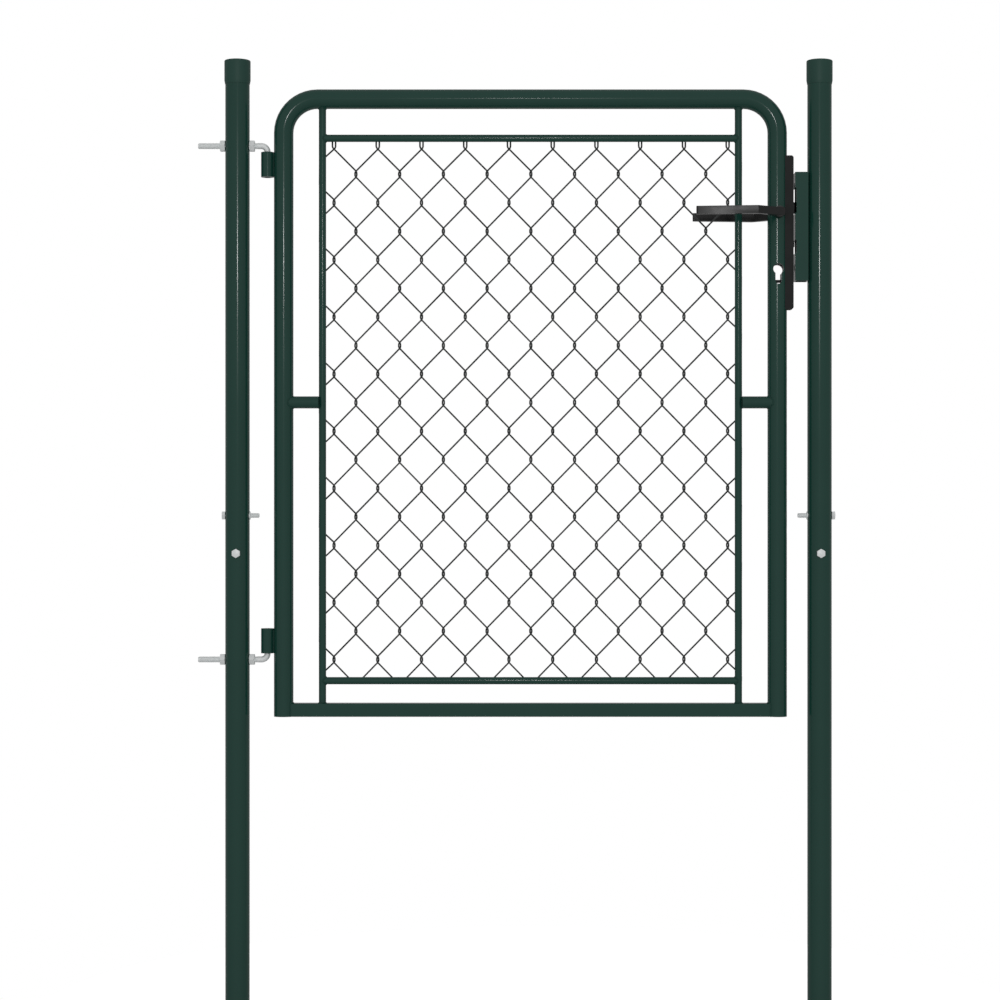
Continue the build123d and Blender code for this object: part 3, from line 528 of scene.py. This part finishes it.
def wire_points(column, left, right, top_z, rod_back):
    """One wire's runs, from its stub behind the upper rod down to its cut end."""
    near, far = column_x(column, left, right), column_x(column + 1, left, right)
    edge_wire = column in (-1, COLUMN_COUNT - 1)
    edge_run = far - near if edge_wire else COLUMN_PITCH
    mesh_y = rod_back + MESH_BEHIND_ROD + WIRE / 2 + WIRE_OFFSET

    def bend(row, at_right):
        """The two corners where the wire crosses from one face of the mesh to the other."""
        on_edge = (column < 0 and not at_right) or (column == COLUMN_COUNT - 1 and at_right)
        half = ROW_PITCH - KNUCKLE_HALF - edge_run if on_edge else KNUCKLE_HALF
        reach = 0 if on_edge else WIRE_OFFSET
        x = far + reach if at_right else near - reach
        entry = -WIRE_OFFSET if at_right else WIRE_OFFSET
        z = top_z - ROW_PITCH * row
        return [(x, mesh_y + entry, z + half), (x, mesh_y - entry, z - half)]

    starts_right = column % 2 == 1
    stub_x = far + STUB_SPREAD if starts_right else near - STUB_SPREAD
    stub_y = mesh_y + (WIRE_OFFSET if starts_right else -WIRE_OFFSET)
    points = [(stub_x, stub_y, top_z + TOP_ROW_DROP + STUB_RISE), (stub_x, stub_y, top_z - KNUCKLE_HALF)]
    for row in range(1, ROW_COUNT):
        points += bend(row, (row % 2 == 1) != starts_right)
    last = Vector(points[-1])
    target = Vector(bend(ROW_COUNT, (ROW_COUNT % 2 == 1) != starts_right)[0])
    end_z = EDGE_WIRE_END_Z if edge_wire else WIRE_END_Z
    share = (last.z - end_z) / (last.z - target.z)
    points.append(tuple(last + (target - last) * min(share, 1)))
    if share > 1:
        points.append((target.x, target.y, end_z))
    return points


left_x = centre_of("hinge_side_upright").x / MM
right_x = centre_of("latch_side_upright").x / MM
rod_low, rod_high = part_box("upper_mesh_rod")
rod_z = (rod_low.z + rod_high.z) / 2 / MM
wires = bmesh.new()
for column in range(-1, COLUMN_COUNT):
    points = wire_points(column, left_x, right_x, rod_z - TOP_ROW_DROP, rod_high.y / MM)
    merge_into(wires, swept_bar(points, WIRE_BEND_REACH, WIRE / 2, 2, 3))
cut_faces = [face for face in wires.faces if len(face.verts) > 4]
bmesh.ops.inset_individual(wires, faces=cut_faces, thickness=(WIRE - WIRE_CORE) / 2 * MM)
for face in cut_faces:
    face.material_index = 1
mesh_piece = make_piece("chain_link_wires", wires, wire_coat, "leaf", "chain_link_mesh")
mesh_piece.data.materials.append(cut_steel)


# ---- handle, latch and deadbolt ----

for node in ("front_lever", "back_lever"):
    finished_node(node, lever_nylon, "handle", 0.9, 4)
finished_node("spindle", rolled_steel, "handle", 0.3)
finished_node("follower", rolled_steel, "handle", 0.2)
finished_node("lever_grub_screws", blackened, "handle")
finished_node("latch_bolt", blackened, "latch", 0.5, 3)
finished_node("deadbolt", blackened, "deadbolt", 0.5, 3)


# ---- studio ----

def plain_floor(centre, radius):
    """A round pale floor that glows a little, like a light table."""
    shape = bmesh.new()
    bmesh.ops.create_circle(shape, segments=96, radius=radius, cap_ends=True)
    bmesh.ops.translate(shape, verts=shape.verts, vec=centre)
    data = bpy.data.meshes.new("floor")
    shape.to_mesh(data)
    shape.free()
    material = bpy.data.materials.new("pale floor")
    material.use_nodes = True
    shader = material.node_tree.nodes["Principled BSDF"]
    shader.inputs["Base Color"].default_value = linear("#f2f2f2")
    shader.inputs["Roughness"].default_value = 0.9
    shader.inputs["Emission Color"].default_value = linear("#ffffff")
    shader.inputs["Emission Strength"].default_value = 0.75
    data.materials.append(material)
    floor = bpy.data.objects.new("floor", data)
    bpy.context.scene.collection.objects.link(floor)
    floor.visible_glossy = False
    floor.visible_diffuse = False


def soft_world(front_light, round_light):
    """White behind everything, and a dimmer light from all round that is strongest from the front."""
    world = bpy.data.worlds.new("studio")
    bpy.context.scene.world = world
    world.use_nodes = True
    tree = world.node_tree
    tree.nodes.clear()
    seen = add(tree, "ShaderNodeBackground", {"Color": (1, 1, 1, 1), "Strength": 1.0})
    place = add(tree, "ShaderNodeTexCoord").outputs["Generated"]
    front = add(tree, "ShaderNodeVectorMath", {1: (0, -0.94, 0.34)}, {0: place}, operation="DOT_PRODUCT")
    level = add(tree, "ShaderNodeMapRange", {"From Min": -0.1, "From Max": 1.0, "To Min": round_light,
                "To Max": front_light}, {"Value": front.outputs["Value"]})
    lit = add(tree, "ShaderNodeBackground", {"Color": (1, 1, 1, 1)}, {"Strength": level.outputs[0]})
    ray = add(tree, "ShaderNodeLightPath")
    both = add(tree, "ShaderNodeMixShader",
               links={0: ray.outputs["Is Camera Ray"], 1: lit.outputs[0], 2: seen.outputs[0]})
    add(tree, "ShaderNodeOutputWorld", links={"Surface": both.outputs[0]})


def softbox(name, place, aim, size, power):
    """A round lamp behind a diffuser."""
    lamp = bpy.data.lights.new(name, "AREA")
    lamp.shape = "DISK"
    lamp.size = size
    lamp.energy = power
    holder = bpy.data.objects.new(name, lamp)
    holder.location = place
    holder.rotation_mode = "QUATERNION"
    holder.rotation_quaternion = (Vector(aim) - Vector(place)).to_track_quat("-Z", "Y")
    bpy.context.scene.collection.objects.link(holder)


def studio_camera():
    """A long lens square on to the gate, a little below the lever."""
    lens = bpy.data.cameras.new("camera")
    lens.sensor_width = 36
    lens.lens = 87.3
    lens.shift_x = -0.0285
    lens.shift_y = 0.033
    camera = bpy.data.objects.new("camera", lens)
    camera.location = (0.480, -4.0, 0.821)
    camera.rotation_euler = (math.radians(90), 0, 0)
    bpy.context.scene.collection.objects.link(camera)
    bpy.context.scene.camera = camera


plain_floor((0.48, 0.2, -0.0005), 0.85)
soft_world(0.62, 0.36)
softbox("key", (0.47, -4.0, 1.735), (0.48, 0, 1.0), 0.2, 10)
studio_camera()
bpy.context.scene.view_settings.view_transform = "Standard"
